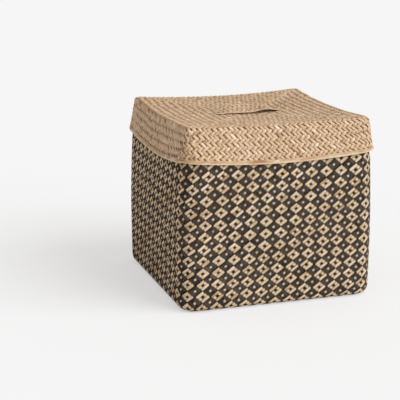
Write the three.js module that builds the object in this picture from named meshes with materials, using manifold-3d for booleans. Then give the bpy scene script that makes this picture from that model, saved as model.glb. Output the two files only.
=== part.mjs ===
// Woven lidded box: a basket plaited in two layers from leaf strips, with a lift-off lid and a strap handle.
// Millimetres, +Z up. The origin is the middle of the underside, and the front faces -Y.
import * as THREE from "three";
import { mergeVertices } from "three/addons/utils/BufferGeometryUtils.js";
import Module from "manifold-3d";

// Basket
const boxHalf = 163; // half the width over the walls, just above the bottom edge
const wallSwell = 1; // how far the walls swell past that
const swellHeight = 100;
const shoulderDraw = 2.5; // how far the walls draw in where the lid's skirt ends
const shoulderDrop = 56; // from the rim down to that height
const mouthDraw = 16; // how far the walls draw in at the rim
const rimHeight = 284;
const wallCorner = 30; // radius of the upright edges
const bottomRadius = 14; // radius of the edge between floor and wall

// Plaited layers
const weaveThickness = 1.6;
const liningThickness = 1;
const layerGap = 0.3; // between pieces that lie against each other

// Rim
const hoopDiameter = 3.6;
const bindingThickness = 0.8;
const bindingDepth = 10; // how far the folded band reaches down the wall

// Lid
const lidClearance = 1.6; // between the rim's binding and the lid's lining
const skirtDepth = 59.5; // from the fold to the lower edge, in the middle of a side
const skirtClearance = 0.8; // between the wall and the hem's inner side
const cornerRise = 6.5; // how far the corners of the top stand above the middle of its edges
const hemRise = 12; // the same for the lower edge
const dishDepth = 5; // from the middle of the top's edges down to its centre
const foldRadius = 6; // between top and skirt
const lidCorner = 6; // radius of the upright edges at the top
const hemCorner = 28; // the same at the lower edge
const courseWidth = 12.5; // of a course of the twill, from groove to groove
const courseGroove = 0.7; // how deep the grooves between courses are
const hemThickness = 0.8;
const hemHeight = 5;

// Strap
const slitDistance = 56; // from the centre of the lid to each slit
const strapThickness = 2.2;
const strapWidth = 34; // in the middle
const strapEndWidth = 18; // where it goes through the lid
const strapArch = 5; // how far its middle stands off the lid
const strapTilt = 9; // degrees that its middle leans to the front
const strapTab = 22; // length turned flat below the lining
const slitClearance = 1.6; // on each side of the strap's thickness
const slitEndClearance = 0.6; // on each side of its width

// Facets
const sideSteps = 6;
const cornerSteps = 4;
const bendSteps = 4;
const archSteps = 8;
const hoopSides = 8;
const dishSteps = 4;
const skirtSteps = 3;
const wallSteps = 4;
const leastCorner = 1;
const weld = 1e-4; // points closer than this are one

const wasm = await Module();
wasm.setup();

// Heights and offsets that follow from the sizes above
const doubleWall = weaveThickness + layerGap + liningThickness;
const shoulderHeight = rimHeight - shoulderDrop;
const edgeRadius = Math.min(bottomRadius, wallCorner - leastCorner);
const rimInnerOffset = weaveThickness + layerGap + hoopDiameter + layerGap + bindingThickness;
const mouthHalf = boxHalf - mouthDraw;
const foldHalf = mouthHalf + layerGap + bindingThickness + lidClearance + doubleWall;
const lidFold = Math.max(foldRadius, doubleWall + leastCorner);
const topCorner = Math.max(lidCorner, doubleWall + leastCorner);
const topCourses = Math.max(1, Math.round((foldHalf - lidFold) / courseWidth));
const skirtCourses = Math.max(1, Math.round((skirtDepth - lidFold) / courseWidth));
const seatShare = (mouthHalf - rimInnerOffset) / foldHalf;
const lidEdge = rimHeight + layerGap + doubleWall + dishDepth * (1 - seatShare ** 2);
const lidCentre = lidEdge - dishDepth;
const hemHalf = wallHalfAt(lidEdge - skirtDepth) + skirtClearance + hemThickness + layerGap + weaveThickness;

function lerp(a, b, share) {
  return a + (b - a) * share;
}

// Half the width over the walls at a height: a swell with an even curve, then straight in to the rim
function wallHalfAt(z) {
  if (z > shoulderHeight) {
    return lerp(boxHalf - shoulderDraw, mouthHalf, (z - shoulderHeight) / shoulderDrop);
  }
  const below = z < swellHeight;
  const share = below ? 1 - z / swellHeight : (z - swellHeight) / (shoulderHeight - swellHeight);
  const fall = below ? wallSwell : wallSwell + shoulderDraw;
  return boxHalf + wallSwell - fall * share ** 2;
}

// A loop round a rounded square. heightAt takes the share of the way from mid-side, 0, to the corner, 1.
function squareLoop(half, corner, heightAt) {
  const flat = half - corner;
  const diagonal = flat + corner * Math.SQRT1_2;
  const quarter = [];
  for (let i = 0; i < sideSteps; i++) {
    quarter.push([half, lerp(-flat, flat, i / sideSteps)]);
  }
  for (let i = 0; i < cornerSteps; i++) {
    const angle = (i / cornerSteps) * (Math.PI / 2);
    quarter.push([flat + corner * Math.cos(angle), flat + corner * Math.sin(angle)]);
  }
  const points = [];
  for (let side = 0; side < 4; side++) {
    for (const [x, y] of quarter) {
      const share = Math.min(Math.abs(x), Math.abs(y)) / diagonal;
      const turned = [
        [x, y],
        [-y, x],
        [-x, -y],
        [y, -x],
      ][side];
      points.push([...turned, heightAt(share)]);
    }
  }
  return points;
}

// Two triangles for a quad, split along its shorter diagonal, so that layers side by side are split alike
function splitQuad(positions, a, b, c, d) {
  const at = (point) => new THREE.Vector3().fromArray(positions, 3 * point);
  const shorter = at(a).distanceTo(at(c)) <= at(b).distanceTo(at(d));
  return shorter ? [a, b, c, a, c, d] : [a, b, d, b, c, d];
}

// Joins loops into one closed skin. A point closes each end; without them the last loop meets the first.
function loft(loops, firstPoint, lastPoint) {
  const count = loops[0].length;
  const positions = loops.flat(2);
  const index = [];
  const joins = firstPoint ? loops.length - 1 : loops.length;
  for (let loop = 0; loop < joins; loop++) {
    const here = loop * count;
    const there = ((loop + 1) % loops.length) * count;
    for (let i = 0; i < count; i++) {
      const next = (i + 1) % count;
      index.push(...splitQuad(positions, here + i, here + next, there + next, there + i));
    }
  }
  if (firstPoint) {
    const first = loops.length * count;
    const lastLoop = first - count;
    positions.push(...firstPoint, ...lastPoint);
    for (let i = 0; i < count; i++) {
      const next = (i + 1) % count;
      index.push(first, next, i);
      index.push(first + 1, lastLoop + i, lastLoop + next);
    }
  }
  const geometry = new THREE.BufferGeometry();
  geometry.setAttribute("position", new THREE.Float32BufferAttribute(positions, 3));
  geometry.setIndex(index);
  return geometry;
}

function solidOf(geometry) {
  const bare = geometry.clone();
  bare.deleteAttribute("normal");
  bare.deleteAttribute("uv");
  const merged = mergeVertices(bare, weld);
  const vertProperties = new Float32Array(merged.attributes.position.array);
  const triVerts = new Uint32Array(merged.index.array);
  return new wasm.Manifold(new wasm.Mesh({ numProp: 3, vertProperties, triVerts }));
}

function geometryOf(solid) {
  const mesh = solid.getMesh();
  const geometry = new THREE.BufferGeometry();
  geometry.setAttribute("position", new THREE.BufferAttribute(mesh.vertProperties, 3));
  geometry.setIndex(new THREE.BufferAttribute(mesh.triVerts, 1));
  return geometry;
}

// Loops of the basket's surface, set in from its outside, from the floor up to endHeight
function basketLoops(inset, endHeight) {
  const loops = [];
  const bend = edgeRadius - inset;
  for (let i = 0; i <= bendSteps; i++) {
    const angle = (i / bendSteps) * (Math.PI / 2);
    const out = edgeRadius - bend * Math.sin(angle);
    const z = edgeRadius - bend * Math.cos(angle);
    const half = wallHalfAt(edgeRadius) - out;
    loops.push(squareLoop(half, wallCorner - out, () => z));
  }
  const heights = [];
  for (let i = 1; i <= wallSteps; i++) {
    heights.push(lerp(edgeRadius, shoulderHeight, i / wallSteps));
  }
  for (const z of [...heights, endHeight]) {
    loops.push(squareLoop(wallHalfAt(z) - inset, wallCorner - inset, () => z));
  }
  return loops;
}

function basketLayer(inset, thickness, endHeight) {
  const outside = basketLoops(inset, endHeight);
  const inside = basketLoops(inset + thickness, endHeight).reverse();
  return loft([...outside, ...inside], [0, 0, inset], [0, 0, inset + thickness]);
}

// The rim's layers end below the binding's top, and the lining ends below the hoop
const weaveTop = rimHeight - bindingThickness - layerGap;
const hoopHeight = weaveTop - hoopDiameter / 2;
const liningTop = weaveTop - hoopDiameter - layerGap;

function hoop() {
  const middle = mouthHalf - weaveThickness - layerGap - hoopDiameter / 2;
  const loops = [];
  for (let i = 0; i < hoopSides; i++) {
    const angle = (i / hoopSides) * 2 * Math.PI;
    const out = (hoopDiameter / 2) * Math.cos(angle);
    const z = hoopHeight + (hoopDiameter / 2) * Math.sin(angle);
    loops.push(squareLoop(middle + out, wallCorner - (mouthHalf - middle) + out, () => z));
  }
  return loft(loops);
}

// A band folded over the rim: outside the wall, over its edge and the hoop, and back against the lining
function rimBinding() {
  const low = rimHeight - bindingDepth;
  const shoulder = rimHeight - bindingThickness;
  const hoopLow = liningTop;
  const liningFace = doubleWall + layerGap;
  const hoopFace = rimInnerOffset - bindingThickness;
  const outline = [
    [wallHalfAt(low) + layerGap + bindingThickness, low],
    [mouthHalf + layerGap + bindingThickness, shoulder],
    [mouthHalf + layerGap, rimHeight],
    [mouthHalf - hoopFace, rimHeight],
    [mouthHalf - hoopFace - bindingThickness, shoulder],
    [mouthHalf - hoopFace - bindingThickness, hoopLow],
    [wallHalfAt(low) - liningFace - bindingThickness, low],
    [wallHalfAt(low) - liningFace, low],
    [mouthHalf - hoopFace, hoopLow],
    [mouthHalf - hoopFace, shoulder],
    [mouthHalf + layerGap, shoulder],
    [wallHalfAt(low) + layerGap, low],
  ];
  const cornerAt = (half) => wallCorner - mouthHalf + Math.min(half, mouthHalf);
  return loft(outline.map(([half, z]) => squareLoop(half, cornerAt(half), () => z)));
}

// Heights of the lid's fold, its top and its lower edge
const foldHeight = (share) => lidEdge + cornerRise * share ** 2;
const lowerHeight = (share) => lidEdge - skirtDepth + hemRise * share ** 2;
const topHeight = (half, share) => lidCentre + (foldHeight(share) - lidCentre) * (half / foldHalf) ** 2;

// Share of the way down the skirt, from the fold's lower end, of a height above the lower edge
const downAt = (height) => 1 - height / (skirtDepth - lidFold);

function skirtLoop(inset, down) {
  const half = lerp(foldHalf, hemHalf, down) - inset;
  const start = (share) => topHeight(foldHalf - lidFold, share) - lidFold;
  const corner = lerp(topCorner, hemCorner, down) - inset;
  return squareLoop(half, corner, (share) => lerp(start(share), lowerHeight(share), down));
}

// Loops of the lid, set in from its outside, from the centre out to a height above its lower edge.
// Both ways from the fold, each second loop is deeper by the groove.
function lidLoops(inset, endHeight, topCount, skirtCount, groove) {
  const loops = [];
  const bend = lidFold - inset;
  const flat = foldHalf - lidFold;
  for (let i = 1; i <= topCount; i++) {
    const half = (flat * i) / topCount;
    const corner = (topCorner * i) / topCount;
    const depth = inset + ((topCount - i) % 2) * groove;
    loops.push(squareLoop(half, corner, (share) => topHeight(half, share) - depth));
  }
  for (let i = 1; i < bendSteps; i++) {
    const angle = (i / bendSteps) * (Math.PI / 2);
    const half = flat + bend * Math.sin(angle);
    const drop = lidFold - bend * Math.cos(angle);
    loops.push(squareLoop(half, topCorner - inset, (share) => topHeight(flat, share) - drop));
  }
  for (let i = 0; i < skirtCount; i++) {
    loops.push(skirtLoop(inset + (i % 2) * groove, i / skirtCount));
  }
  loops.push(skirtLoop(inset, downAt(endHeight)));
  return loops;
}

const plainLoops = (inset, endHeight) => lidLoops(inset, endHeight, dishSteps, skirtSteps, 0);
const ribbedLoops = (inset, endHeight) =>
  lidLoops(inset, endHeight, 2 * topCourses, 2 * skirtCourses, courseGroove);

// A layer of the lid: its inside is plain, and its outside has the loops given
function lidLayer(inset, thickness, endHeight, outsideLoops) {
  const inside = plainLoops(inset + thickness, endHeight);
  const outside = outsideLoops(inset, endHeight).reverse();
  const under = [0, 0, lidCentre - inset - thickness];
  const top = [0, 0, lidCentre - inset];
  const shell = loft([...inside, ...outside], under, top);
  return geometryOf(solidOf(shell).subtract(slit(-1)).subtract(slit(1)));
}

// The cut through the lid that the strap's end passes
function slit(side) {
  const across = strapThickness + 2 * slitClearance;
  const along = strapEndWidth + 2 * slitEndClearance;
  const cut = new THREE.BoxGeometry(across, along, 2 * (doubleWall + dishDepth));
  cut.translate(side * slitDistance, 0, lidCentre);
  return solidOf(cut);
}

// A band folded round the lower edge of the lid's outer layer
function lidHem() {
  const inner = weaveThickness + layerGap;
  const outline = [
    [inner, hemHeight],
    [inner + hemThickness, hemHeight],
    [inner + hemThickness, 0],
    [-layerGap - hemThickness, 0],
    [-layerGap - hemThickness, hemHeight],
    [-layerGap, hemHeight],
    [-layerGap, hemThickness],
    [inner, hemThickness],
  ];
  return loft(outline.map(([inset, height]) => skirtLoop(inset, downAt(height))));
}

// Stations of the strap from its left tab to the middle: place, slope, share of the arch
function strapHalf() {
  const top = topHeight(slitDistance, 0);
  const upper = top + layerGap + strapThickness / 2;
  const lower = top - doubleWall - layerGap - strapThickness / 2;
  const bend = (upper - lower) / 2;
  const reach = slitDistance - bend;
  const stations = [{ x: -slitDistance - strapTab, z: lower, angle: 0, arch: 0 }];
  for (let i = 0; i <= bendSteps; i++) {
    const angle = (i / bendSteps) * (Math.PI / 2);
    const x = -slitDistance - bend + bend * Math.sin(angle);
    stations.push({ x, z: lower + bend - bend * Math.cos(angle), angle, arch: 0 });
  }
  for (let i = 1; i <= bendSteps; i++) {
    const angle = (1 - i / bendSteps) * (Math.PI / 2);
    const x = -slitDistance + bend - bend * Math.sin(angle);
    stations.push({ x, z: upper - bend + bend * Math.cos(angle), angle, arch: 0 });
  }
  for (let i = 1; i <= archSteps; i++) {
    const x = -reach * (1 - i / archSteps);
    const arch = 1 - (x / reach) ** 2;
    const angle = Math.atan((-2 * strapArch * x) / reach ** 2);
    stations.push({ x, z: upper + strapArch * arch, angle, arch });
  }
  return stations;
}

// The strap's section at a station: a flat band that widens and leans as it arches
function strapSection({ x, z, angle, arch }) {
  const half = lerp(strapEndWidth, strapWidth, arch) / 2;
  const lean = THREE.MathUtils.degToRad(strapTilt) * arch;
  const up = new THREE.Vector3(-Math.sin(angle), 0, Math.cos(angle));
  const back = new THREE.Vector3(0, 1, 0);
  const across = back.clone().multiplyScalar(Math.cos(lean)).addScaledVector(up, Math.sin(lean));
  const thick = up.clone().multiplyScalar(Math.cos(lean)).addScaledVector(back, -Math.sin(lean));
  const corners = [
    [half, strapThickness / 2],
    [-half, strapThickness / 2],
    [-half, -strapThickness / 2],
    [half, -strapThickness / 2],
  ];
  return corners.map(([w, t]) => {
    const point = new THREE.Vector3(x, 0, z).addScaledVector(across, w).addScaledVector(thick, t);
    return point.toArray();
  });
}

function strap() {
  const left = strapHalf();
  const right = left.slice(0, -1).reverse();
  const mirrored = right.map((station) => ({ ...station, x: -station.x, angle: -station.angle }));
  const stations = [...left, ...mirrored];
  const tabEnd = slitDistance + strapTab;
  const tabHeight = left[0].z;
  return loft(stations.map(strapSection), [-tabEnd, 0, tabHeight], [tabEnd, 0, tabHeight]);
}

// Materials
const naturalLeaf = { color: 0xc8a374, roughness: 0.75, metalness: 0 };
const blackLeaf = { color: 0x4a4843, roughness: 0.7, metalness: 0 };
const plainLeaf = { color: 0xbfa07a, roughness: 0.8, metalness: 0 };
const rattan = { color: 0xb08a58, roughness: 0.6, metalness: 0 };

const box = new THREE.Group();
const basket = new THREE.Group();
const lid = new THREE.Group();
box.add(basket, lid);

function addPiece(group, name, geometry, material) {
  const mesh = new THREE.Mesh(geometry, new THREE.MeshStandardMaterial(material));
  mesh.name = name;
  group.add(mesh);
}

const liningInset = weaveThickness + layerGap;
const lidWeaveEnd = hemThickness + layerGap;
const lidLiningEnd = hemHeight + layerGap;
addPiece(basket, "body_outer_weave", basketLayer(0, weaveThickness, weaveTop), blackLeaf);
addPiece(basket, "body_lining", basketLayer(liningInset, liningThickness, liningTop), plainLeaf);
addPiece(basket, "rim_hoop", hoop(), rattan);
addPiece(basket, "rim_binding", rimBinding(), naturalLeaf);
addPiece(lid, "lid_outer_weave", lidLayer(0, weaveThickness, lidWeaveEnd, ribbedLoops), naturalLeaf);
addPiece(lid, "lid_lining", lidLayer(liningInset, liningThickness, lidLiningEnd, plainLoops), plainLeaf);
addPiece(lid, "lid_hem", lidHem(), naturalLeaf);
addPiece(lid, "handle_strap", strap(), naturalLeaf);

export default box;
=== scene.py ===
"""Looks of the woven lidded box: each plaited layer is made of its own leaf strips, going over and under."""

import math
from typing import NamedTuple

import bpy
import numpy as np
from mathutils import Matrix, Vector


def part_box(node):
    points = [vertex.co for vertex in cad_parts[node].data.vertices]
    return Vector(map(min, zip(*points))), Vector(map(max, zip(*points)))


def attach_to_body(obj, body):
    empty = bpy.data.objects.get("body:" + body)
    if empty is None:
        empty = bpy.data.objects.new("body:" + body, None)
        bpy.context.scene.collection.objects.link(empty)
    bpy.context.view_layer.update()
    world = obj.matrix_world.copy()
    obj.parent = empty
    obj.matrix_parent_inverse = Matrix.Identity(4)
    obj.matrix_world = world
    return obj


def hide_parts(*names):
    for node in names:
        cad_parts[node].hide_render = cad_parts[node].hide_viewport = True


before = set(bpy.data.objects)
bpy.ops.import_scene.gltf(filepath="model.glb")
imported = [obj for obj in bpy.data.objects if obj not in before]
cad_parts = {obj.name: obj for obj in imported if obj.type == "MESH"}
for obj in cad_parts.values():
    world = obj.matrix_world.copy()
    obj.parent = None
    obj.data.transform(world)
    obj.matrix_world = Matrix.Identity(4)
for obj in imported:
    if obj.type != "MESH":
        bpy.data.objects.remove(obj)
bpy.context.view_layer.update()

MM = 0.001
TINY = 1e-9  # keeps a divisor above 0
RIGHT = math.pi / 2  # a right angle

# Sizes of the CAD model that its boxes don't give
WALL_SWELL = 1 * MM
SWELL_HEIGHT = 100 * MM
SHOULDER_DRAW = 2.5 * MM
SHOULDER_DROP = 56 * MM
MOUTH_DRAW = 16 * MM
WALL_CORNER = 30 * MM
BOTTOM_RADIUS = 14 * MM
WEAVE = 1.6 * MM
LINING = 1 * MM
LAYER_GAP = 0.3 * MM
FOLD_HALF = 152.6 * MM
FOLD_RADIUS = 6 * MM
LID_CORNER = 6 * MM
HEM_CORNER = 28 * MM
CORNER_RISE = 6.5 * MM
HEM_RISE = 12 * MM
DISH_DEPTH = 5 * MM
FRONT_RAISE = 3 * MM  # the leaf lid's front edge sags so much less than the others
SKIRT_DEPTH = 59.5 * MM
HEM_THICKNESS = 0.8 * MM
HEM_HEIGHT = 5 * MM
HEM_MORE = 1.5 * MM  # the leaf band reaches so much further up than the CAD model's
HEM_LEAF = 0.4 * MM  # thickness of the leaf band
BINDING_THICKNESS = 0.8 * MM
BINDING_DEPTH = 10 * MM
SLIT_DISTANCE = 56 * MM
STRAP_THICKNESS = 2.2 * MM
STRAP_WIDTH = 34 * MM
STRAP_END_WIDTH = 18 * MM
STRAP_ARCH = 5 * MM
STRAP_LEAN = math.radians(15)  # of the leaf strap to the front at its left and in its middle
STRAP_TURN = math.radians(20)  # from there to its right end, where its front edge stands up
STRAP_TAB = 22 * MM

# Places that follow from the CAD model's boxes
WEAVE_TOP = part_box("body_outer_weave")[1].z
LINING_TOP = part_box("body_lining")[1].z
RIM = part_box("rim_binding")[1].z
BOX_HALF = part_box("body_outer_weave")[1].x - WALL_SWELL
HEM_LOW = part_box("lid_hem")[0].z
HEM_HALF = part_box("lid_hem")[1].x - HEM_THICKNESS - LAYER_GAP
LID_EDGE = HEM_LOW + SKIRT_DEPTH
LID_CENTRE = LID_EDGE - DISH_DEPTH
LINING_INSET = WEAVE + LAYER_GAP
DOUBLE_WALL = LINING_INSET + LINING
MOUTH_HALF = BOX_HALF - MOUTH_DRAW
SHOULDER = RIM - SHOULDER_DROP

# Plaits: how many strips they have, and how these lie
BLOCK = 3  # strips across a block of the pattern
BODY_COUNT = 153  # strips of each colour round the walls
BODY_RISE = 6.32 * MM  # between strips of a colour, measured up the wall
BODY_ROW = 195.5 * MM  # height of a row of light blocks
BODY_SHIFT = 0.9 * MM  # of a light block in that row from the middle of the front
BODY_LEAN = 0.048  # of the columns of blocks to the right, for each unit of height
BODY_TILT = 3.7 * MM  # rows hang this much lower on the right and higher on the left
TILT_FADE = 25 * MM  # above the floor and below the rim, where the rows level out
FLOOR_COUNT = 39
LID_COUNT = 36
LID_STRETCH = 1.03  # of the skirt's plait, downwards
LID_ROW = 0  # row of the twill where the short floats lie
LID_UNEVEN = 0.15
SKIRT_LIE = 0.65  # how far its floats lie over like tiles on the skirt, against 1 on the top
SPOT_DARK = 0.1  # dims short floats that don't lie over, towards the colour of the painted shade where strips go under
EDGE_DARK = 0.13  # painted shade on floats that lie over
TILE_DARK = 0.32  # more of it, by how far they lie over
TILE_FALL = 0.35  # by which the painted shade is deeper at their low ends, under the floats above, and lighter at their high ends
LINING_COUNT = 26
UNEVEN = 0.1  # of the pitch that a strip strays from its even place
PULL = 0.6  # share of one strip's straying that the next one keeps
DOME = 1.2  # lift of the middle of a long float, against its ends
LEAF = 0.5 * MM  # thickness of a strip
WOBBLE = 0.05 * MM  # of a strip's lift along it
ROLL = 0.035  # of a strip about its length, in radians
LEAST_STEP = 1e-6  # between points along a strip, in crossings
LOW_ARCH = np.array([-1, 0, 1])  # places that shape a float, from one end to the other
FULL_ARCH = np.array([-1, -0.6, 0, 0.6, 1])


class Strip(NamedTuple):
    """One strip, by points along it."""

    a: np.ndarray  # places on its surface
    b: np.ndarray
    lift: np.ndarray  # off the surface
    across: np.ndarray  # direction across the strip
    width: np.ndarray
    side: np.ndarray  # of the lid that it goes down
    dive: np.ndarray  # painted shade, up to 1 where it goes under others


class Walls(NamedTuple):
    """How a plait goes round the walls."""

    count: int  # strips of a family
    rise: float  # between them, measured up the wall
    shift: float  # of the first one from the middle of the front
    row: float  # place up the wall where crossings are counted from
    length: float  # of the wall's profile


class Habit(NamedTuple):
    """How a family of strips lies. Reaches are counted in crossings."""

    fill: float  # share of its pitch that a strip fills
    lift: float  # above or below the layer's middle
    reach: float  # how far past a crossing's middle it stays up in a long float
    short: float  # the same in a short float
    dip: float  # the same where it is down
    close: float  # the same beside a single crossing that it goes under
    end: float = 1.0  # share of the lift at a float's ends
    arch: np.ndarray = LOW_ARCH
    shade: float = 1.0  # painted shade at a single crossing that it goes under
    pinch: float = 1.0  # share of the width in a short float
    swell: float = 1.0  # share of the width in the middle of a long one
    brow: float = 1.0  # share of the lift at the upper ends of floats that lie over like tiles


NATURAL_HABIT = Habit(0.93, 0.5 * MM, 0.22, 0.3, 0.3, 0.36, shade=0.4, pinch=0.92, swell=1.04)
BLACK_HABIT = Habit(0.97, 0.5 * MM, 0.05, 0.05, 0.05, 0.05, pinch=0.95)
FLOOR_HABIT = Habit(0.97, 0.35 * MM, 0.2, 0.2, 0.2, 0.2)
LID_HABIT = Habit(0.98, 0.8 * MM, 0.2, 0.58, 0.15, 0.38, end=0.15, arch=FULL_ARCH, shade=0.85, brow=0.8)
LINING_HABIT = Habit(0.97, 0.2 * MM, 0.25, 0.25, 0.25, 0.25)


def wall_half(z):
    """Half the width over the walls at a height."""
    below = z < SWELL_HEIGHT
    share = np.where(below, 1 - z / SWELL_HEIGHT, (z - SWELL_HEIGHT) / (SHOULDER - SWELL_HEIGHT))
    fall = np.where(below, WALL_SWELL, WALL_SWELL + SHOULDER_DRAW)
    swollen = BOX_HALF + WALL_SWELL - fall * share**2
    drawn = BOX_HALF - SHOULDER_DRAW - (MOUTH_DRAW - SHOULDER_DRAW) * (z - SHOULDER) / SHOULDER_DROP
    return np.where(z > SHOULDER, drawn, swollen)


def flat_share(half, corner):
    """Share of a rounded square's side that is straight."""
    straight = 2 * (half - corner)
    return straight / (straight + corner * RIGHT)


def on_square(turn, half, corner, straight):
    """Places on rounded squares, where turn counts sides anticlockwise from the middle of the front.
    The last result goes from 0 in the middle of a side to 1 at a corner."""
    side = np.round(turn)
    part = turn - side
    flat = half - corner
    angle = np.maximum(np.abs(part) - straight / 2, 0) / (1 - straight) * RIGHT
    reach = np.minimum(np.abs(part) / (straight / 2), 1) * flat + corner * np.sin(angle)
    along = np.sign(part) * reach
    out = flat + corner * np.cos(angle)
    c, s = np.cos(side * RIGHT), np.sin(side * RIGHT)
    return along * c + out * s, along * s - out * c, reach / (flat + corner * math.sqrt(0.5))


WALL_STRAIGHT = flat_share(BOX_HALF, WALL_CORNER)
WALL_SIDE = 2 * (BOX_HALF - WALL_CORNER) / WALL_STRAIGHT
FLAT_HALF = FOLD_HALF - FOLD_RADIUS
BEND_POINTS = 9  # of the wall's profile round the bottom radius
WALL_POINTS = 80  # of it above that


def wall_surface(inset, top):
    """The wall from the floor's edge up, set in from its outside, the length of its profile, and a function
    from heights to places up it. The surface takes places round the wall, places up its profile and lifts."""
    bend = np.linspace(0, RIGHT, BEND_POINTS)
    inner = BOTTOM_RADIUS - inset
    edge = wall_half(BOTTOM_RADIUS) - BOTTOM_RADIUS
    heights = np.linspace(BOTTOM_RADIUS, top, WALL_POINTS)[1:]
    half = np.concatenate([edge + inner * np.sin(bend), wall_half(heights) - inset])
    z = np.concatenate([BOTTOM_RADIUS - inner * np.cos(bend), heights])
    corner = np.minimum(WALL_CORNER - BOTTOM_RADIUS + half - edge, WALL_CORNER - inset)
    place = np.concatenate([[0], np.cumsum(np.hypot(np.diff(half), np.diff(z)))])
    outward = np.gradient(z, place)
    upward = -np.gradient(half, place)

    def surface(round_, up, lift, side=None):
        out = lift * np.interp(up, place, outward)
        width, rounding = np.interp(up, place, half) + out, np.interp(up, place, corner) + out
        x, y, _ = on_square(round_ / WALL_SIDE, width, rounding, WALL_STRAIGHT)
        return np.stack([x, y, np.interp(up, place, z) + lift * np.interp(up, place, upward)], -1)

    return surface, place[-1], lambda height: np.interp(height, z, place)


def lid_point(turn, past, lift, inset):
    """The lid by sides round it and distance past the fold's start, which is below 0 on the top."""
    bend_end = FOLD_RADIUS * RIGHT
    angle = np.clip(past / FOLD_RADIUS, 0, RIGHT)
    down = np.maximum(past - bend_end, 0) / (SKIRT_DEPTH - FOLD_RADIUS)
    off = lift - inset
    inner = np.minimum(FLAT_HALF + past, FLAT_HALF)
    half = inner + (FOLD_RADIUS + off) * np.sin(angle) + (HEM_HALF - FOLD_HALF) * down
    rounding = LID_CORNER + (HEM_CORNER - LID_CORNER) * down
    corner = rounding * inner / FLAT_HALF + off * np.sin(angle)
    x, y, share = on_square(turn, half, corner, flat_share(FLAT_HALF, rounding))
    fold = LID_EDGE + CORNER_RISE * share**2
    top = LID_CENTRE + (fold - LID_CENTRE) * (inner / FOLD_HALF) ** 2
    bent = top - FOLD_RADIUS + (FOLD_RADIUS + off) * np.cos(angle)
    lower = LID_EDGE - SKIRT_DEPTH + HEM_RISE * share**2
    raised = FRONT_RAISE * (1 - share**2) * np.clip(-y / FOLD_HALF, 0, 1) ** 4
    return np.stack([x, y, bent + (lower - bent) * down + raised], -1)


SKIRT_END = FOLD_RADIUS * RIGHT + SKIRT_DEPTH - FOLD_RADIUS
PLAIT_END = SKIRT_END - HEM_THICKNESS - LAYER_GAP  # inside the fold of the hem band


def lid_surface(inset, quarter):
    """The lid as a sheet spread flat: plan coordinates on its top that run on over the edge of a side.
    quarter turns the sheet by that many right angles."""

    def surface(a, b, lift, side):
        c, s = np.cos(side * RIGHT), np.sin(side * RIGHT)
        along, out = a * c + b * s, a * s - b * c
        widest = np.maximum(np.maximum(np.abs(a), np.abs(b)), TINY)
        front = np.abs(b) >= np.abs(a)
        sector = np.where(front, np.where(b < 0, 0, 2), np.where(a > 0, 1, 3))
        lateral = np.where(front, np.where(b < 0, a, -a), np.where(a > 0, b, -b))
        past = np.minimum((out - FLAT_HALF) * LID_STRETCH, PLAIT_END)
        over = past > 0
        turn = np.where(over, side + along / (2 * FLAT_HALF), sector + lateral / (2 * widest))
        inside = np.minimum(widest, FLAT_HALF) - FLAT_HALF
        return lid_point(turn + quarter, np.where(over, past, inside), lift, inset)

    return surface


def floor_surface(inset, quarter):
    """The floor's underside as a flat sheet."""

    def surface(a, b, lift, side):
        c, s = math.cos(quarter * RIGHT), math.sin(quarter * RIGHT)
        return np.stack([a * c - b * s, a * s + b * c, inset - lift], -1)

    return surface


def straying(count, seed, share=UNEVEN):
    """How far each strip of a family lies from its even place, in pitches."""
    steps = np.random.default_rng(seed).normal(0, share, count)
    places = np.zeros(count)
    for k in range(1, count):
        places[k] = PULL * places[k - 1] + steps[k]
    return places


def shares(places):
    """Widths of the strips of a family that fill the room between their neighbours, in pitches."""
    return 1 + (np.roll(places, -1) - np.roll(places, 1)) / 2


def waypoints(numbers, over, spots, low, high, habit, lie=None):
    """Places along a strip, counted in crossings, with its lift, its painted shade and its width there.
    It stays up or down over each run of crossings on one side, and changes sides between crossings.
    spots are the crossings that count as short floats where one is alone on its side.
    Where a sheet's floats lie over like tiles, lie says how far they do at a crossing. Above 0 the ends
    further along the strip are up, and below 0 those before. Their other ends are down, with painted shade."""
    places, lifts, dives, widths = [], [], [], []
    runs = np.split(np.arange(len(over)), np.flatnonzero(np.diff(over)) + 1)
    alone = [False] + [len(run) == 1 and spots[run[0]] for run in runs] + [False]
    for number, run in enumerate(runs):
        first, last = numbers[run[0]], numbers[run[-1]]
        upper = 0 if lie is None else lie((first + last) / 2)
        if over[run[0]]:
            short = alone[number + 1]
            reach = habit.short if short else habit.reach
            before = habit.close if alone[number] and upper <= 0 else reach
            after = habit.close if alone[number + 2] and upper >= 0 else reach
            length = last - first + after + before
            places += list((first + last + after - before + length * habit.arch) / 2)
            ends = np.where(habit.arch * upper > 0, habit.brow, habit.end)
            lifts += list(DOME + (ends - DOME) * habit.arch**2)
            # painted shade on floats that lie over, deeper at their low ends under the floats above
            edge = EDGE_DARK * (upper != 0) + TILE_DARK * abs(upper)
            along = edge - TILE_FALL * upper * habit.arch
            dives += [SPOT_DARK * (upper == 0)] * len(along) if short else list(along)
            full, least = (habit.pinch, habit.pinch) if short else (habit.swell, 1)
            widths += list(full + (least - full) * habit.arch**2)
        else:
            places += [first - habit.dip, last + habit.dip]
            lifts += [-1.0, -1.0]
            # painted shade where the strip goes under others
            dark = habit.shade if alone[number + 1] else 1.0
            dives += [dark * (upper <= 0), dark * (upper >= 0)]
            widths += [1.0, 1.0]
    places = np.clip(places, low, high)
    keep = np.append(True, np.diff(places) > LEAST_STEP)
    return places[keep], habit.lift * np.array(lifts)[keep], np.array(dives)[keep], np.array(widths)[keep]


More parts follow.
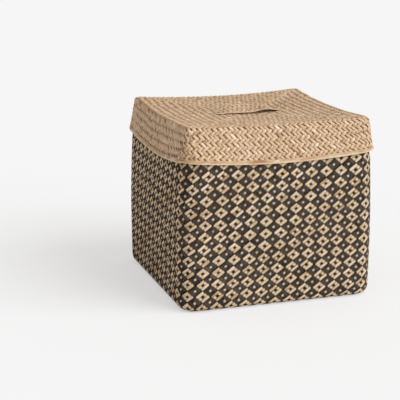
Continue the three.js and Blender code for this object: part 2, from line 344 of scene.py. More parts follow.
def wall_family(slant, walls, habit, over, own, other):
    """Strips up the wall that all slant one way: 1 to the right and -1 to the left, seen from outside.
    own and other are how the strips of this family and of the one across it stray."""
    pitch = 4 * WALL_SIDE / walls.count
    across = np.array([1, -slant * pitch / walls.rise])
    across /= np.linalg.norm(across)
    widths = habit.fill * pitch * abs(across[0]) * shares(own)
    low, high = -2 * walls.row / walls.rise, 2 * (walls.length - walls.row) / walls.rise
    numbers = np.arange(math.floor(low), math.ceil(high) + 1)
    strips = []
    for strip in range(walls.count):
        crossed = strip + slant * numbers
        flags = np.array([over(strip, k) for k in crossed])
        spots = (strip % BLOCK == BLOCK // 2) & (crossed % BLOCK == BLOCK // 2)
        met = numbers + slant * (other[crossed % walls.count] - own[strip])
        places, lifts, dives, wider = waypoints(met, flags, spots, low, high, habit)
        up = walls.row + places * walls.rise / 2
        round_ = walls.shift + pitch * (strip + own[strip] + slant * places / 2)
        strips.append(Strip(round_, up, lifts, across, widths[strip] * wider, np.zeros(len(up)), dives))
    return strips


def tiled(rise, first, last):
    """How far a strip's floats lie over at a crossing: rise on the top, from its first crossing to its last,
    and with their outer ends up past it."""

    def lie(place):
        if first - 0.5 < place < last + 0.5:
            return rise
        return math.copysign(SKIRT_LIE, place - (first + last) / 2)

    return lie


def sheet_family(count, half, rows, habit, over, own, other, most=None, rise=0):
    """Strips of a sheet that all run from back left to front right, with rows of crossings past its edges.
    own and other stray as in wall_family, with the strip past the sheet's middle in the middle of each.
    most is how many strips there are each side of the middle, where not all of them are.
    rise is 1 or -1 for a lid, whose floats lie over as in tiled, and 0 where they lie level."""
    pitch = 2 * half / count
    across = np.array([1, 1]) / math.sqrt(2)
    widths = habit.fill * pitch / math.sqrt(2) * shares(own)
    middle = len(own) // 2
    spare = count if most is None else most
    strips = []
    for i in range(-spare, spare):
        to_front = i < 0
        last = i + count if to_front else count - i - 1
        first = -count - i - 1 if to_front else i - count
        numbers = np.arange(math.floor(first - rows), math.ceil(last + rows) + 1)
        flags = []
        for j in numbers:
            x, y = i + j + 1, i - j
            leads, row = abs(y) >= abs(x), max(abs(x), abs(y)) - count
            if j > last:
                leads, row = to_front, j - last
            elif j < first:
                leads, row = not to_front, first - j
            flags.append(over(i, j, row, leads))
        met = numbers + other[numbers + middle]
        spots = np.full(len(met), True)
        low, high = first - rows, last + rows
        lie = tiled(rise, first, last) if rise else None
        places, lifts, dives, wider = waypoints(met, np.array(flags), spots, low, high, habit, lie)
        i_met = i + own[i + middle]
        a, b = pitch * (i_met + places + 1) / 2, pitch * (i_met - places) / 2
        ahead, behind = (0, 3) if to_front else (1, 2)
        side = np.where(places > (first + last) / 2, ahead, behind)
        strips.append(Strip(a, b, lifts, across, widths[i + middle] * wider, side, dives))
    return strips


def sheet_families(count, half, rows, habit, rules, seed, share=UNEVEN, most=None, rise=0):
    """Both families of a sheet: the second is the first turned by a right angle."""
    room = 2 * (count + math.ceil(rows) + 2)
    first, second = straying(room, seed, share), straying(room, seed + 1, share)
    return (
        sheet_family(count, half, rows, habit, rules[0], first, second, most, rise),
        sheet_family(count, half, rows, habit, rules[1], -second[::-1], first, most, -rise),
    )


class Section(NamedTuple):
    """A strip's section, by points: from one edge over its top to the other, and back below."""

    across: np.ndarray  # shares of its half width
    lift: np.ndarray  # off its middle
    creases: tuple  # numbers of the points with a sharp edge


FLAT_ACROSS = np.array([-1, -0.74, 0.74, 1, 0])
FLAT_LIFT = np.array([0.1, 0.5, 0.5, 0.1, -0.5])  # in thicknesses
ROUND_ACROSS = np.array([-1, -0.5, 0.5, 1, 0])
ROUND_LIFT = np.array([-0.6, 0.5, 0.5, -0.6, -0.7]) * MM
THIN_LEAF = 0.3 * MM  # thickness of a lining's strip
FLAT = Section(FLAT_ACROSS, FLAT_LIFT * LEAF, (1, 2))
THIN = Section(FLAT_ACROSS, FLAT_LIFT * THIN_LEAF, (1, 2))
ROUND = Section(ROUND_ACROSS, ROUND_LIFT, ())
AT_EDGE = np.array([1, 0, 0, 1, 1])  # which points of a section count as its edges, which get painted shade
APART = 0.05  # between the fibres of a strip and the next, so that each has its own
MARGIN = 0.05  # round a strip in the map that materials are baked to


def ring_quads(row, part, ahead, ring):
    """Corner numbers of the faces between rings of points."""
    nxt = (part + 1) % ring
    corners = [row * ring + part, row * ring + nxt, ahead * ring + nxt, ahead * ring + part]
    return np.stack(corners, -1).reshape(-1, 4)


def plait(name, strips, surface, section=FLAT, *, seed):
    """One object made of strips that lie on a surface, each a closed band with its own width and tone."""
    rng = np.random.default_rng(seed)
    ring = len(section.across)
    points, fibre, looks, quads, caps, unwrap = [], [], [], [], [], []
    start = 0
    for number, strip in enumerate(strips):
        count = len(strip.a)
        reach = section.across * strip.width[:, None] / 2
        a = strip.a[:, None] + reach * strip.across[0]
        b = strip.b[:, None] + reach * strip.across[1]
        lift = strip.lift + rng.normal(0, WOBBLE, count)
        lift = lift[:, None] + section.lift + rng.normal(0, ROLL, (count, 1)) * reach
        place = surface(a, b, lift, np.repeat(strip.side[:, None], ring, 1))
        points.append(place.reshape(-1, 3))
        middle = place[:, 1:3].mean(axis=1)
        along = np.concatenate([[0], np.cumsum(np.linalg.norm(np.diff(middle, axis=0), axis=1))])
        lines = np.stack(np.broadcast_arrays(along[:, None], reach, number * APART), -1)
        fibre.append(lines.reshape(-1, 3))
        # tone, painted shade where the strip goes under others, and the edge mask for painted shade at its
        # edges
        look = np.stack(np.broadcast_arrays(rng.random(), strip.dive[:, None], AT_EDGE), -1)
        looks.append(look.reshape(-1, 3))
        row, part = np.meshgrid(np.arange(count - 1), np.arange(ring), indexing="ij")
        quads.append(start + ring_quads(row, part, row + 1, ring))
        caps.append(start + np.arange(ring)[::-1])
        caps.append(start + (count - 1) * ring + np.arange(ring))
        u = along / max(along[-1], TINY)
        ends = np.stack([u[row], u[row], u[row + 1], u[row + 1]], -1)
        sides = np.stack([part, part + 1, part + 1, part], -1) / ring
        v = (number + MARGIN + (1 - 2 * MARGIN) * sides) / len(strips)
        unwrap.append(np.stack([ends, v], -1).reshape(-1, 4, 2))
        start += count * ring
    made = solid(name, np.concatenate(points), np.concatenate(quads), np.array(caps), np.concatenate(unwrap),
                 np.concatenate(fibre), np.concatenate(looks))
    pairs = np.zeros(2 * len(made.data.edges), np.int32)
    made.data.edges.foreach_get("vertices", pairs)
    parts = pairs.reshape(-1, 2) % ring
    sharp = (parts[:, 0] == parts[:, 1]) & np.isin(parts[:, 0], section.creases)
    made.data.attributes.new("sharp_edge", "BOOLEAN", "EDGE").data.foreach_set("value", sharp)
    return made


def solid(name, points, quads, caps, unwrap, fibre, looks):
    """A smooth mesh object of quads and end caps that faces outwards. Its points have their place along and
    across the fibres, and for their look a tone, a painted shade, and whether they are an edge that gets
    painted shade."""
    p = points[quads]
    volume = np.einsum("ij,ij->i", p[:, 0], np.cross(p[:, 1], p[:, 2]) + np.cross(p[:, 2], p[:, 3])).sum()
    if volume < 0:
        quads, caps, unwrap = quads[:, ::-1], caps[:, ::-1], unwrap[:, ::-1]
    mesh = bpy.data.meshes.new(name)
    ring = caps.shape[1] if len(caps) else 0
    loops = np.concatenate([quads.ravel(), caps.ravel()]).astype(np.int32)
    sizes = np.concatenate([np.full(len(quads), 4), np.full(len(caps), ring)]).astype(np.int32)
    starts = np.concatenate([[0], np.cumsum(sizes)[:-1]]).astype(np.int32)
    mesh.vertices.add(len(points))
    mesh.vertices.foreach_set("co", points.astype(np.float32).ravel())
    mesh.loops.add(len(loops))
    mesh.loops.foreach_set("vertex_index", loops)
    mesh.polygons.add(len(sizes))
    mesh.polygons.foreach_set("loop_start", starts)
    mesh.polygons.foreach_set("use_smooth", np.ones(len(sizes), bool))
    mesh.update(calc_edges=True)
    layout = mesh.uv_layers.new(name="OFBake")
    corner = np.zeros((len(loops), 2), np.float32)
    corner[: quads.size] = unwrap.reshape(-1, 2)
    layout.data.foreach_set("uv", corner.ravel())
    lines = mesh.attributes.new("fibre", "FLOAT_VECTOR", "POINT")
    lines.data.foreach_set("vector", fibre.astype(np.float32).ravel())
    look = mesh.attributes.new("look", "FLOAT_VECTOR", "POINT")
    look.data.foreach_set("vector", looks.astype(np.float32).ravel())
    made = bpy.data.objects.new(name, mesh)
    bpy.context.scene.collection.objects.link(made)
    return made


PATCH_COUNT = 180  # lengths of leaf round a band
PATCH_SLANT = 5.0  # of their ends, in sides of the box for each metre across the band
WORN = 1.5  # tone that a worn edge gains


def patches(turns, seed):
    """Tones of the lengths of leaf that a band is made of, by places round it."""
    rng = np.random.default_rng(seed)
    ends = np.sort(rng.uniform(0, 4, PATCH_COUNT))
    return rng.random(PATCH_COUNT + 1)[np.searchsorted(ends, turns)]


def band(name, outline, surface, steps, seed, paler=()):
    """A closed band round the box: an outline of distances and lifts, carried round four sides.
    paler numbers the points of the outline that are worn pale."""
    turns = np.linspace(0, 4, 4 * steps, endpoint=False)
    outline = np.array(outline)
    count = len(outline)
    place = surface(turns[:, None], outline[:, 0], outline[:, 1])
    row, part = np.meshgrid(np.arange(len(turns)), np.arange(count), indexing="ij")
    quads = ring_quads(row, part, (row + 1) % len(turns), count)
    u = np.stack([row, row, row + 1, row + 1], -1) / len(turns)
    v = np.stack([part, part + 1, part + 1, part], -1) / count
    along = np.broadcast_to(turns[:, None] * WALL_SIDE, (len(turns), count))
    lengths = np.hypot(*np.diff(outline, axis=0, prepend=outline[:1]).T)
    across = np.broadcast_to(np.cumsum(lengths), along.shape)
    fibre = np.stack([along, across, np.zeros_like(along)], -1).reshape(-1, 3)
    reach = outline[:, 0] - outline[:, 0].min()
    tone = patches((turns[:, None] + PATCH_SLANT * reach) % 4, seed) + WORN * np.isin(np.arange(count), paler)
    looks = np.stack(np.broadcast_arrays(tone, 0, 0), -1).reshape(-1, 3)
    no_caps = np.zeros((0, 4), int)
    unwrap = np.stack([u, v], -1).reshape(-1, 4, 2)
    return solid(name, place.reshape(-1, 3), quads, no_caps, unwrap, fibre, looks)


# Materials
def add(tree, kind, inputs=(), **settings):
    """A node with its settings, and each input set to a value or joined to a socket."""
    made = tree.nodes.new(kind)
    for name, value in settings.items():
        setattr(made, name, value)
    for name, value in dict(inputs).items():
        if isinstance(value, bpy.types.NodeSocket):
            tree.links.new(value, made.inputs[name])
        else:
            made.inputs[name].default_value = value
    return made


def stretched_noise(tree, lines, stretch, detail):
    """Noise drawn out along the fibres."""
    scaled = add(tree, "ShaderNodeVectorMath", {0: lines, 1: stretch}, operation="MULTIPLY")
    settings = {"Vector": scaled.outputs[0], "Scale": 1.0, "Detail": detail}
    return add(tree, "ShaderNodeTexNoise", settings).outputs[0]


def ramp(tree, factor, stops):
    """A colour that goes through stops as a factor rises."""
    made = add(tree, "ShaderNodeValToRGB", {"Fac": factor})
    elements = made.color_ramp.elements
    while len(elements) < len(stops):
        elements.new(0.5)
    for element, (place, colour) in zip(elements, stops):
        element.position = place
        element.color = (*colour, 1)
    return made.outputs[0]


def times(tree, first, second):
    """One colour multiplied by another."""
    mixed = add(tree, "ShaderNodeMix", data_type="RGBA", blend_type="MULTIPLY")
    mixed.inputs["Factor"].default_value = 1
    tree.links.new(first, mixed.inputs["A"])
    tree.links.new(second, mixed.inputs["B"])
    return mixed.outputs["Result"]


WHITE = (1, 1, 1)
STREAK_SHARES = (0.92, 1.0, 1.1)  # how much of each colour the dark fibres take away
STREAK_SPAN = (0.25, 0.7)  # of the fibres' noise, from dark to plain
RIM_SPAN = (0.35, 1.0)  # from a strip's top to its edge, over which painted shade darkens it
GROOVE_SPAN = (0.08, 0.35)  # of the painted shade at edges where strips go under others, over which they get the groove's painted shade colour
DRIFT_STRETCH = (45, 150, 40)  # along and across the fibres and between strips, for each metre
FIBRE_STRETCH = (60, 1500, 40)
DRIFT_DETAIL = 2
FIBRE_DETAIL = 3
FIBRE_BUMP = 0.5
FIBRE_DEPTH = 0.15 * MM


class Leaf(NamedTuple):
    """Looks of a leaf. Its colour is multiplied by dive, rim and groove where they apply, which are painted
    shade where it goes under others, at its edges and in its grooves.
    """

    stops: list  # of its colour
    streaks: float  # how dark its fibres are
    own: float  # how far strips differ from each other
    patch: float  # how far they differ along themselves
    dive: tuple  # colour of the painted shade where it goes under others
    rim: tuple  # colour of the painted shade at its edges
    fall: tuple  # painted shade where the dive colour begins, and where it is full
    roughness: float
    shine: float
    groove: tuple = WHITE  # colour of the painted shade at edges where it goes under others


def leaf_material(name, leaf, on_node=False):
    """Dry leaf: a tone for each strip that drifts along it, fine fibres, painted shade at its ends and edges,
    and a ribbed surface. on_node is for a CAD node, which has no fibres of its own."""
    made = bpy.data.materials.new(name)
    made.use_nodes = True
    tree = made.node_tree
    shader = tree.nodes["Principled BSDF"]
    if on_node:
        lines = add(tree, "ShaderNodeTexCoord").outputs["Object"]
    else:
        lines = add(tree, "ShaderNodeAttribute", attribute_name="fibre").outputs["Vector"]
    look = add(tree, "ShaderNodeAttribute", attribute_name="look").outputs["Vector"]
    # tone of the strip, painted shade where it goes under others, and its edge mask for painted shade
    tone, dive, rim = add(tree, "ShaderNodeSeparateXYZ", {"Vector": look}).outputs
    drift = stretched_noise(tree, lines, DRIFT_STRETCH, DRIFT_DETAIL)
    fibres = stretched_noise(tree, lines, FIBRE_STRETCH, FIBRE_DETAIL)
    middle = 0.5 - leaf.own / 2 - leaf.patch / 2
    sums = {"operation": "MULTIPLY_ADD"}
    strip_tone = add(tree, "ShaderNodeMath", {0: tone, 1: leaf.own, 2: middle}, **sums).outputs[0]
    drifting = add(tree, "ShaderNodeMath", {0: drift, 1: leaf.patch, 2: strip_tone}, **sums).outputs[0]
    colour = ramp(tree, drifting, leaf.stops)
    # painted shade in the grooves, at edges where strips go under others
    groove = add(tree, "ShaderNodeMath", {0: dive, 1: rim}, operation="MULTIPLY").outputs[0]
    streak = [1 - leaf.streaks * share for share in STREAK_SHARES]
    # the fibres' streaks are grain; the rest is painted shade
    shades = (
        (fibres, STREAK_SPAN, streak, WHITE),
        (dive, leaf.fall, WHITE, leaf.dive),
        (rim, RIM_SPAN, WHITE, leaf.rim),
        (groove, GROOVE_SPAN, WHITE, leaf.groove),
    )
    for factor, (begin, end), first, last in shades:
        colour = times(tree, colour, ramp(tree, factor, [(begin, first), (end, last)]))
    tree.links.new(colour, shader.inputs["Base Color"])
    bump = add(tree, "ShaderNodeBump", {"Height": fibres, "Strength": FIBRE_BUMP, "Distance": FIBRE_DEPTH})
    tree.links.new(bump.outputs[0], shader.inputs["Normal"])
    shader.inputs["Roughness"].default_value = leaf.roughness
    shader.inputs["Specular IOR Level"].default_value = leaf.shine
    return made


NATURAL = [
    (0.0, (0.45, 0.27, 0.14)),
    (0.25, (0.66, 0.445, 0.265)),
    (0.5, (0.75, 0.57, 0.355)),
    (0.75, (0.78, 0.55, 0.375)),
    (1.0, (1.0, 0.84, 0.64)),
]
PALE_NATURAL = [
    (0.0, (0.54, 0.365, 0.21)),
    (0.25, (0.80, 0.62, 0.40)),
    (0.5, (0.91, 0.76, 0.52)),
    (0.75, (0.92, 0.73, 0.55)),
    (1.0, (1.0, 0.90, 0.72)),
]
BLACK = [
    (0.0, (0.026, 0.021, 0.016)),
    (0.35, (0.072, 0.064, 0.057)),
    (0.7, (0.090, 0.081, 0.076)),
    (1.0, (0.140, 0.122, 0.105)),
]
HEM = [
    (0.0, (0.44, 0.25, 0.12)),
    (0.3, (0.61, 0.40, 0.22)),
    (0.6, (0.68, 0.47, 0.28)),
    (0.8, (0.73, 0.55, 0.35)),
    (1.0, (0.88, 0.71, 0.51)),
]
# Colours of the painted shade where strips go under others, at their edges and in their grooves
BROWN = (0.30, 0.20, 0.12)
UMBER = (0.07, 0.05, 0.03)
FAWN = (0.88, 0.78, 0.66)
SIENNA = (0.20, 0.12, 0.06)
# painted shade on the black strips, where they go under others and at their edges
SHADE_ON_BLACK = (0.16, 0.11, 0.07)
EARLY = (0.05, 0.4)  # painted shade over which a leaf takes its colour for going under others
LATE = (0.55, 0.85)
SOFT = (0.1, 0.5)
# The dive, rim and groove colours below are painted shade; the bands and the rattan have no shade or edge
# values, so on them these don't show.
BODY_LEAF = Leaf(PALE_NATURAL, 0.55, 0.7, 1.5, UMBER, BROWN, EARLY, 0.6, 0.2)
LID_LEAF = Leaf(NATURAL, 0.3, 0.6, 1.7, SIENNA, FAWN, LATE, 0.4, 0.55, SIENNA)
BLACK_LEAF = Leaf(BLACK, 0.35, 0.5, 1.2, SHADE_ON_BLACK, SHADE_ON_BLACK, EARLY, 0.8, 0.06)
PLAIN_LEAF = Leaf(NATURAL, 0.22, 0.4, 1.0, BROWN, BROWN, SOFT, 0.75, 0.2)
BAND_LEAF = Leaf(HEM, 0.4, 0.6, 2.2, BROWN, BROWN, SOFT, 0.55, 0.3)
RATTAN = Leaf(HEM, 0.3, 0.2, 0.9, BROWN, BROWN, SOFT, 0.45, 0.4)
body_leaf = leaf_material("body_leaf", BODY_LEAF)
lid_leaf = leaf_material("lid_leaf", LID_LEAF)
black_leaf = leaf_material("black_leaf", BLACK_LEAF)
plain_leaf = leaf_material("plain_leaf", PLAIN_LEAF)
hem_leaf = leaf_material("hem_leaf", BAND_LEAF)
rattan = leaf_material("rattan", RATTAN, on_node=True)


def attach(piece, body, material, node):
    """Gives a piece its material and its body, and hides the CAD node that it stands for."""
    piece.data.materials.append(material)
    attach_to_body(piece, body)
    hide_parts(node)


# Basket
def natural_over(i, j):
    """Which strip of a block pattern is on top: one colour all over a block, but for its middle crossing."""
    light = (i // BLOCK + j // BLOCK) % 2 == 0
    middle = i % BLOCK == BLOCK // 2 and j % BLOCK == BLOCK // 2
    return light != middle


def hand_laid(surface, walls):
    """The same wall with the plait's columns leaning and its rows tilted."""

    def moved(round_, up, lift, side):
        fade = np.clip(np.minimum(up, walls.length - up) / TILT_FADE, 0, 1)
        tilt = BODY_TILT * np.sin(round_ / WALL_SIDE * RIGHT) * fade
        return surface(round_ + BODY_LEAN * (up - walls.row), up - tilt, lift, side)

    return moved


BODY_INSET = WEAVE / 2 + 0.35 * MM  # of the basket's plait, which stands out further than it goes in
body, body_length, up_wall = wall_surface(BODY_INSET, WEAVE_TOP)
first_strip = BODY_SHIFT - 4 * WALL_SIDE / BODY_COUNT * (BLOCK // 2)
walls = Walls(BODY_COUNT, BODY_RISE, first_strip, up_wall(BODY_ROW), body_length)
body = hand_laid(body, walls)
stray_natural, stray_black = straying(BODY_COUNT, 61), straying(BODY_COUNT, 62)
natural = wall_family(1, walls, NATURAL_HABIT, natural_over, stray_natural, stray_black)
black = wall_family(-1, walls, BLACK_HABIT, lambda j, i: not natural_over(i, j), stray_black, stray_natural)
made = plait("body_natural_strips", natural, body, seed=1)
attach(made, "basket", body_leaf, "body_outer_weave")
made = plait("body_black_strips", black, body, seed=2)
attach(made, "basket", black_leaf, "body_outer_weave")

floor_half = wall_half(BOTTOM_RADIUS) - BOTTOM_RADIUS
floor_rules = (
    lambda i, j, row, leads: natural_over(i, j),
    lambda i, j, row, leads: not natural_over(j, -i - 1),
)
families = sheet_families(FLOOR_COUNT, floor_half, 0, FLOOR_HABIT, floor_rules, 63, most=FLOOR_COUNT - 1)
floor_looks = (("floor_natural_strips", body_leaf), ("floor_black_strips", black_leaf))
for quarter, (name, material) in enumerate(floor_looks):
    made = plait(name, families[quarter], floor_surface(BODY_INSET, quarter), seed=3 + quarter)
    attach(made, "basket", material, "body_outer_weave")


def plain_over(i, j, row=0, leads=True):
    """Over one and under one."""
    return (i + j) % 2 == 0


LINING_UNEVEN = 0.03
LINING_MIDDLE = LINING_INSET + LINING / 2  # of the linings' plait, from the outside
lining, lining_length, _ = wall_surface(LINING_MIDDLE, LINING_TOP)
lining_walls = Walls(4 * LINING_COUNT, WALL_SIDE / LINING_COUNT, 0, 0, lining_length)
even = np.zeros(4 * LINING_COUNT)
lining_rules = {1: plain_over, -1: lambda j, i: not plain_over(i, j)}
for number, (slant, rule) in enumerate(lining_rules.items()):
    strips = wall_family(slant, lining_walls, LINING_HABIT, rule, even, even)
    made = plait(f"body_lining_strips_{number}", strips, lining, THIN, seed=50 + number)
    attach(made, "basket", plain_leaf, "body_lining")
plain_rules = (plain_over, plain_over)
most = LINING_COUNT - 1
families = sheet_families(LINING_COUNT, floor_half, 0, LINING_HABIT, plain_rules, 65, LINING_UNEVEN, most)
for quarter, strips in enumerate(families):
    surface = floor_surface(LINING_MIDDLE, quarter)
    made = plait(f"floor_lining_strips_{quarter}", strips, surface, THIN, seed=6 + quarter)
    attach(made, "basket", plain_leaf, "body_lining")

# Rim
BINDING_REACH = 6.6 * MM  # from the mouth's outside to the binding's inner face, past the hoop
BINDING_FOOT = 0.4 * MM  # from its lower edge up to its full thickness
BINDING_TURN = 1.4 * MM  # below the rim, where its faces start to turn over it
BINDING_CREST = 1.5 * MM  # from each face to the flat of its top
BINDING_ROUND = 0.3 * MM  # by which the turn is cut at its corners
BINDING_DROP = 0.2 * MM  # of the outer corner below the rim
BINDING_STEPS = 48  # round a side
low = RIM - BINDING_DEPTH
low_half = float(wall_half(low))
outer_face = LAYER_GAP + BINDING_THICKNESS
inner_half = MOUTH_HALF - BINDING_REACH
binding_outline = [
    (low_half + LAYER_GAP, low),
    (low_half + outer_face, low + BINDING_FOOT),
    (MOUTH_HALF + outer_face, RIM - BINDING_TURN),
    (MOUTH_HALF + LAYER_GAP + BINDING_ROUND, RIM - BINDING_DROP),
    (MOUTH_HALF - BINDING_CREST, RIM),
    (inner_half + BINDING_CREST, RIM),
    (inner_half + BINDING_ROUND, RIM - BINDING_ROUND),
    (inner_half, RIM - BINDING_TURN),
    (inner_half, LINING_TOP),
    (low_half - DOUBLE_WALL - outer_face, low),
    (low_half - DOUBLE_WALL - LAYER_GAP, low),
    (inner_half + BINDING_THICKNESS, LINING_TOP),
    (inner_half + BINDING_THICKNESS, RIM - BINDING_THICKNESS),
    (MOUTH_HALF + LAYER_GAP, RIM - BINDING_THICKNESS),
]


def rim_point(turn, half, z):
    """Points of the rim binding by sides round it, half width and height."""
    half, z, turn = np.broadcast_arrays(half, z, turn)
    corner = np.minimum(WALL_CORNER, WALL_CORNER + half - MOUTH_HALF)
    x, y, _ = on_square(turn, half, corner, WALL_STRAIGHT)
    return np.stack([x, y, z], -1)


made = band("rim_binding_band", binding_outline, rim_point, BINDING_STEPS, seed=8)
attach(made, "basket", hem_leaf, "rim_binding")
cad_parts["rim_hoop"].data.materials.clear()
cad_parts["rim_hoop"].data.materials.append(rattan)


# Lid
def twill_over(i, j, row, leads):
    """Over two and under one for the strips that lead, in rows along the nearest edge."""
    return (row % 3 != LID_ROW) == leads


LID_INSET = WEAVE / 2 + 0.3 * MM  # of the lid's plait, which stands out further than it goes in
rows = PLAIT_END / (LID_STRETCH * FLAT_HALF / LID_COUNT)
twill_rules = (twill_over, twill_over)
families = sheet_families(LID_COUNT, FLAT_HALF, rows, LID_HABIT, twill_rules, 67, LID_UNEVEN, rise=1)
for quarter, strips in enumerate(families):
    made = plait(f"lid_strips_{quarter}", strips, lid_surface(LID_INSET, quarter), ROUND, seed=20 + quarter)
    attach(made, "lid", lid_leaf, "lid_outer_weave")
lining_rows = (SKIRT_END - HEM_HEIGHT - LAYER_GAP) / (LID_STRETCH * FLAT_HALF / LINING_COUNT)
families = sheet_families(LINING_COUNT, FLAT_HALF, lining_rows, LINING_HABIT, plain_rules, 69, LINING_UNEVEN)
for quarter, strips in enumerate(families):
    surface = lid_surface(LINING_MIDDLE, quarter)
    made = plait(f"lid_lining_strips_{quarter}", strips, surface, THIN, seed=30 + quarter)
    attach(made, "lid", plain_leaf, "lid_lining")

HEM_LIP = 0.3 * MM  # lift of the hem band's upper edge
HEM_OVERLAP = 0.2 * MM  # of that edge up the plait
HEM_EASE = 0.4 * MM  # from its upper edge down to its full thickness
HEM_ROUND = 0.7 * MM  # from its lower edge up to its full thickness
HEM_BELLY = 0.15 * MM  # by which its outer face bulges
HEM_STEPS = 200  # round a side
HEM_PALER = (4, 5)  # points of its outline at its lower edge, which is worn
hem_inner = WEAVE / 2 + LAYER_GAP
hem_outer = hem_inner + HEM_LEAF
hem_top = SKIRT_END - HEM_HEIGHT - HEM_MORE
hem_outline = [
    (hem_top, hem_inner),
    (hem_top - HEM_OVERLAP, hem_inner + HEM_LIP),
    (hem_top + HEM_EASE, hem_outer),
    ((hem_top + SKIRT_END) / 2, hem_outer + HEM_BELLY),
    (SKIRT_END - HEM_ROUND, hem_outer),
    (SKIRT_END, hem_inner),
    (SKIRT_END, -hem_inner),
    (SKIRT_END - HEM_ROUND, -hem_outer),
    (hem_top + HEM_EASE, -hem_outer),
    (hem_top, -hem_inner),
    (SKIRT_END - HEM_THICKNESS, -hem_inner),
    (SKIRT_END - HEM_THICKNESS, hem_inner),
]


def hem_point(turn, past, lift):
    """Points of the hem band, as on the lid, by their lift off the middle of its plait."""
    return lid_point(turn, past, lift, WEAVE / 2)


made = band("lid_hem_band", hem_outline, hem_point, HEM_STEPS, seed=9, paler=HEM_PALER)
attach(made, "lid", hem_leaf, "lid_hem")


# Strap
def lid_top(x):
    """Height of the lid's outside along its middle, by distance from its centre."""
    return LID_CENTRE + DISH_DEPTH * (x / FOLD_HALF) ** 2


UPPER = float(lid_top(SLIT_DISTANCE)) + LAYER_GAP + STRAP_THICKNESS / 2
LOWER = float(lid_top(SLIT_DISTANCE)) - DOUBLE_WALL - LAYER_GAP - STRAP_THICKNESS / 2
STRAP_BEND = (UPPER - LOWER) / 2
STRAP_REACH = SLIT_DISTANCE - STRAP_BEND
ARCH_POINTS = 25  # of half the strap's line over the lid
TURN_POINTS = 7  # of each bend through a slit
TURN_END = 0.7  # share of its reach where the strap has turned
LEAN_POWER = 0.5  # of the arch, by which it leans


def strap_line():
    """Half of the strap's line from its middle to the end of its tab: x, z and share of the arch."""
    x = np.linspace(0, STRAP_REACH, ARCH_POINTS)
    arch = 1 - (x / STRAP_REACH) ** 2
    angle = np.linspace(0, RIGHT, TURN_POINTS)[1:]
    over_x = STRAP_REACH + STRAP_BEND * np.sin(angle)
    over_z = UPPER - STRAP_BEND + STRAP_BEND * np.cos(angle)
    under_x = SLIT_DISTANCE + STRAP_BEND * (1 - np.cos(angle))
    under_z = LOWER + STRAP_BEND * (1 - np.sin(angle))
    tab_x = np.array([SLIT_DISTANCE + STRAP_TAB])
    line_x = np.concatenate([x, over_x, under_x, tab_x])
    line_z = np.concatenate([UPPER + STRAP_ARCH * arch, over_z, under_z, [LOWER]])
    return line_x, line_z, np.concatenate([arch, np.zeros(len(line_x) - len(x))])


half_x, half_z, half_arch = strap_line()
line_x = np.concatenate([-half_x[:0:-1], half_x])
line_z = np.concatenate([half_z[:0:-1], half_z])
line_arch = np.concatenate([half_arch[:0:-1], half_arch])
line_place = np.concatenate([[0], np.cumsum(np.hypot(np.diff(line_x), np.diff(line_z)))])
line_place -= line_place[-1] / 2
line_dx, line_dz = np.gradient(line_x, line_place), np.gradient(line_z, line_place)


def strap_half_width(a):
    """Half the strap's width at places along it."""
    return (STRAP_END_WIDTH + (STRAP_WIDTH - STRAP_END_WIDTH) * np.interp(a, line_place, line_arch)) / 2


def strap_surface(a, b, lift, side=None):
    """The strap by places along it and across it, leaning to the front where it arches."""
    x, z = np.interp(a, line_place, line_x), np.interp(a, line_place, line_z)
    right = np.clip(x / (TURN_END * STRAP_REACH), 0, 1)
    turned = STRAP_TURN * right**2 * (3 - 2 * right)
    lean = (STRAP_LEAN - turned) * np.interp(a, line_place, line_arch) ** LEAN_POWER
    up_x, up_z = -np.interp(a, line_place, line_dz), np.interp(a, line_place, line_dx)
    size = np.hypot(up_x, up_z)
    rise = b * np.sin(lean) + lift * np.cos(lean)
    y = b * np.cos(lean) - lift * np.sin(lean)
    return np.stack([x + up_x / size * rise, y, z + up_z / size * rise], -1)


STRAP_PITCH = 8 * MM
STRAP_EDGE = 1.2 * MM  # from the strap's edge to the end of its plait
STRAP_STRIPS = 30  # each side of the strap's middle, more than it has room for
STRAP_CROSSINGS = 10  # of each strip, each side of its middle
EDGE_POINTS = 160  # along each edge of the strap
EDGE_INSET = 1.6 * MM  # of the middle of its edge strips
EDGE_WIDTH = 3.4 * MM
EDGE_SHARE = 0.8  # of the strap's thickness that they have


def strap_family(slant):
    """Strips across the strap at 45 degrees, ended at its edges."""
    across = np.array([1, -slant]) / math.sqrt(2)
    end = line_place[-1]
    strips = []
    most = STRAP_CROSSINGS
    crossings = np.arange(-most, most + 1)
    flags = (crossings % 3 != 0) == (slant > 0)
    spots = np.full(len(crossings), True)
    places, lifts, dives, _ = waypoints(crossings, flags, spots, -most, most, LID_HABIT)
    b = places * STRAP_PITCH / 2
    for number in range(-STRAP_STRIPS, STRAP_STRIPS + 1):
        a = STRAP_PITCH * number + slant * b
        limit = strap_half_width(a) - STRAP_EDGE
        inside = (np.abs(b) < limit) & (np.abs(a) < end - STRAP_EDGE)
        count = inside.sum()
        if count > 1:
            width = np.full(count, LID_HABIT.fill * STRAP_PITCH / math.sqrt(2))
            side = np.zeros(count)
            strips.append(Strip(a[inside], b[inside], lifts[inside], across, width, side, dives[inside]))
    return strips


made = plait("strap_strips", strap_family(1) + strap_family(-1), strap_surface, seed=40)
attach(made, "lid", lid_leaf, "handle_strap")

EDGE = Section(FLAT_ACROSS, FLAT_LIFT * EDGE_SHARE * STRAP_THICKNESS, ())
stations = np.linspace(line_place[0], line_place[-1], EDGE_POINTS)
level = np.zeros(EDGE_POINTS)
edges = []
for side in (-1, 1):
    b = side * (strap_half_width(stations) - EDGE_INSET)
    edges.append(Strip(stations, b, level, np.array([0, 1]), np.full(EDGE_POINTS, EDGE_WIDTH), level, level))
made = plait("strap_edges", edges, strap_surface, EDGE, seed=41)
attach(made, "lid", lid_leaf, "handle_strap")

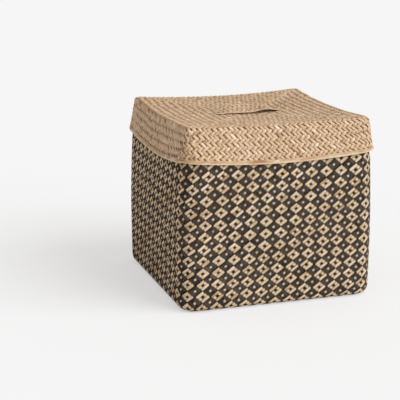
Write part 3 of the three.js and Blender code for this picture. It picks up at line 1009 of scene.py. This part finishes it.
# Stage
CAMERA_PLACE = (-0.69465, -1.89273, 0.64677)
CAMERA_TARGET = (-0.07264, 0.02666, 0.13227)
CAMERA_SENSOR = 36  # width in millimetres, as for the lens
CAMERA_LENS = 110.95
FLOOR_REACH = 6  # metres each way
FLOOR_GIVES = (0.8, 0.78, 0.75)  # colour of the floor for the light that it throws back
FLOOR_SHOWS = (0.92, 0.963, 0.99)  # its colour for the camera
FLOOR_GLOW = (0.985, 0.985, 0.985, 1)
SEEN_GLOW = 0.5  # share of the background that the floor gives by itself where the camera sees it
AMBIENT = 0.53
SKY = (1.0, 0.92, 0.87, 1)
PALE = (0.922, 0.922, 0.922, 1)  # the background that the camera sees
KEY_STRENGTH = 2.4
KEY_ANGLE = math.radians(55)  # how wide the light is, for soft shadows
KEY_AZIMUTH = math.radians(-45)  # from the right, towards the front
KEY_HEIGHT = math.radians(32)


def aim(thing, target):
    """Turns a camera or light towards a point."""
    direction = Vector(target) - thing.location
    thing.rotation_euler = direction.to_track_quat("-Z", "Y").to_euler()


camera = bpy.data.objects.new("camera", bpy.data.cameras.new("camera"))
camera.location = CAMERA_PLACE
bpy.context.scene.collection.objects.link(camera)
aim(camera, CAMERA_TARGET)
camera.data.sensor_width = CAMERA_SENSOR
camera.data.lens = CAMERA_LENS
bpy.context.scene.camera = camera

ground = bpy.data.meshes.new("floor")
corners = [(x * FLOOR_REACH, y * FLOOR_REACH, 0) for x, y in ((-1, -1), (1, -1), (1, 1), (-1, 1))]
ground.from_pydata(corners, [], [(0, 1, 2, 3)])
floor = bpy.data.objects.new("floor", ground)
bpy.context.scene.collection.objects.link(floor)
paper = bpy.data.materials.new("paper")
paper.use_nodes = True
tree = paper.node_tree
tree.nodes.clear()
rays = add(tree, "ShaderNodeLightPath")
shade = ramp(tree, rays.outputs["Is Camera Ray"], [(0, FLOOR_GIVES), (1, FLOOR_SHOWS)])
matt = add(tree, "ShaderNodeBsdfDiffuse", {"Color": shade})
glow = add(tree, "ShaderNodeEmission", {"Color": FLOOR_GLOW, "Strength": 1.0})
seen = add(tree, "ShaderNodeMath", {0: rays.outputs["Is Camera Ray"], 1: SEEN_GLOW}, operation="MULTIPLY")
both = add(tree, "ShaderNodeMixShader", {0: seen.outputs[0]})
tree.links.new(matt.outputs[0], both.inputs[1])
tree.links.new(glow.outputs[0], both.inputs[2])
tree.links.new(both.outputs[0], add(tree, "ShaderNodeOutputMaterial").inputs[0])
ground.materials.append(paper)

world = bpy.data.worlds.new("world")
bpy.context.scene.world = world
world.use_nodes = True
tree = world.node_tree
tree.nodes.clear()
rays = add(tree, "ShaderNodeLightPath")
sky = add(tree, "ShaderNodeBackground", {"Color": SKY, "Strength": AMBIENT})
seen = add(tree, "ShaderNodeBackground", {"Color": PALE, "Strength": 1.0})
both = add(tree, "ShaderNodeMixShader", {0: rays.outputs["Is Camera Ray"]})
tree.links.new(sky.outputs[0], both.inputs[1])
tree.links.new(seen.outputs[0], both.inputs[2])
tree.links.new(both.outputs[0], add(tree, "ShaderNodeOutputWorld").inputs[0])

key = bpy.data.objects.new("key", bpy.data.lights.new("key", "SUN"))
key.data.energy = KEY_STRENGTH
key.data.angle = KEY_ANGLE
key.location = (
    math.cos(KEY_HEIGHT) * math.cos(KEY_AZIMUTH),
    math.cos(KEY_HEIGHT) * math.sin(KEY_AZIMUTH),
    math.sin(KEY_HEIGHT),
)
bpy.context.scene.collection.objects.link(key)
aim(key, (0, 0, 0))

bpy.context.scene.view_settings.view_transform = "Standard"
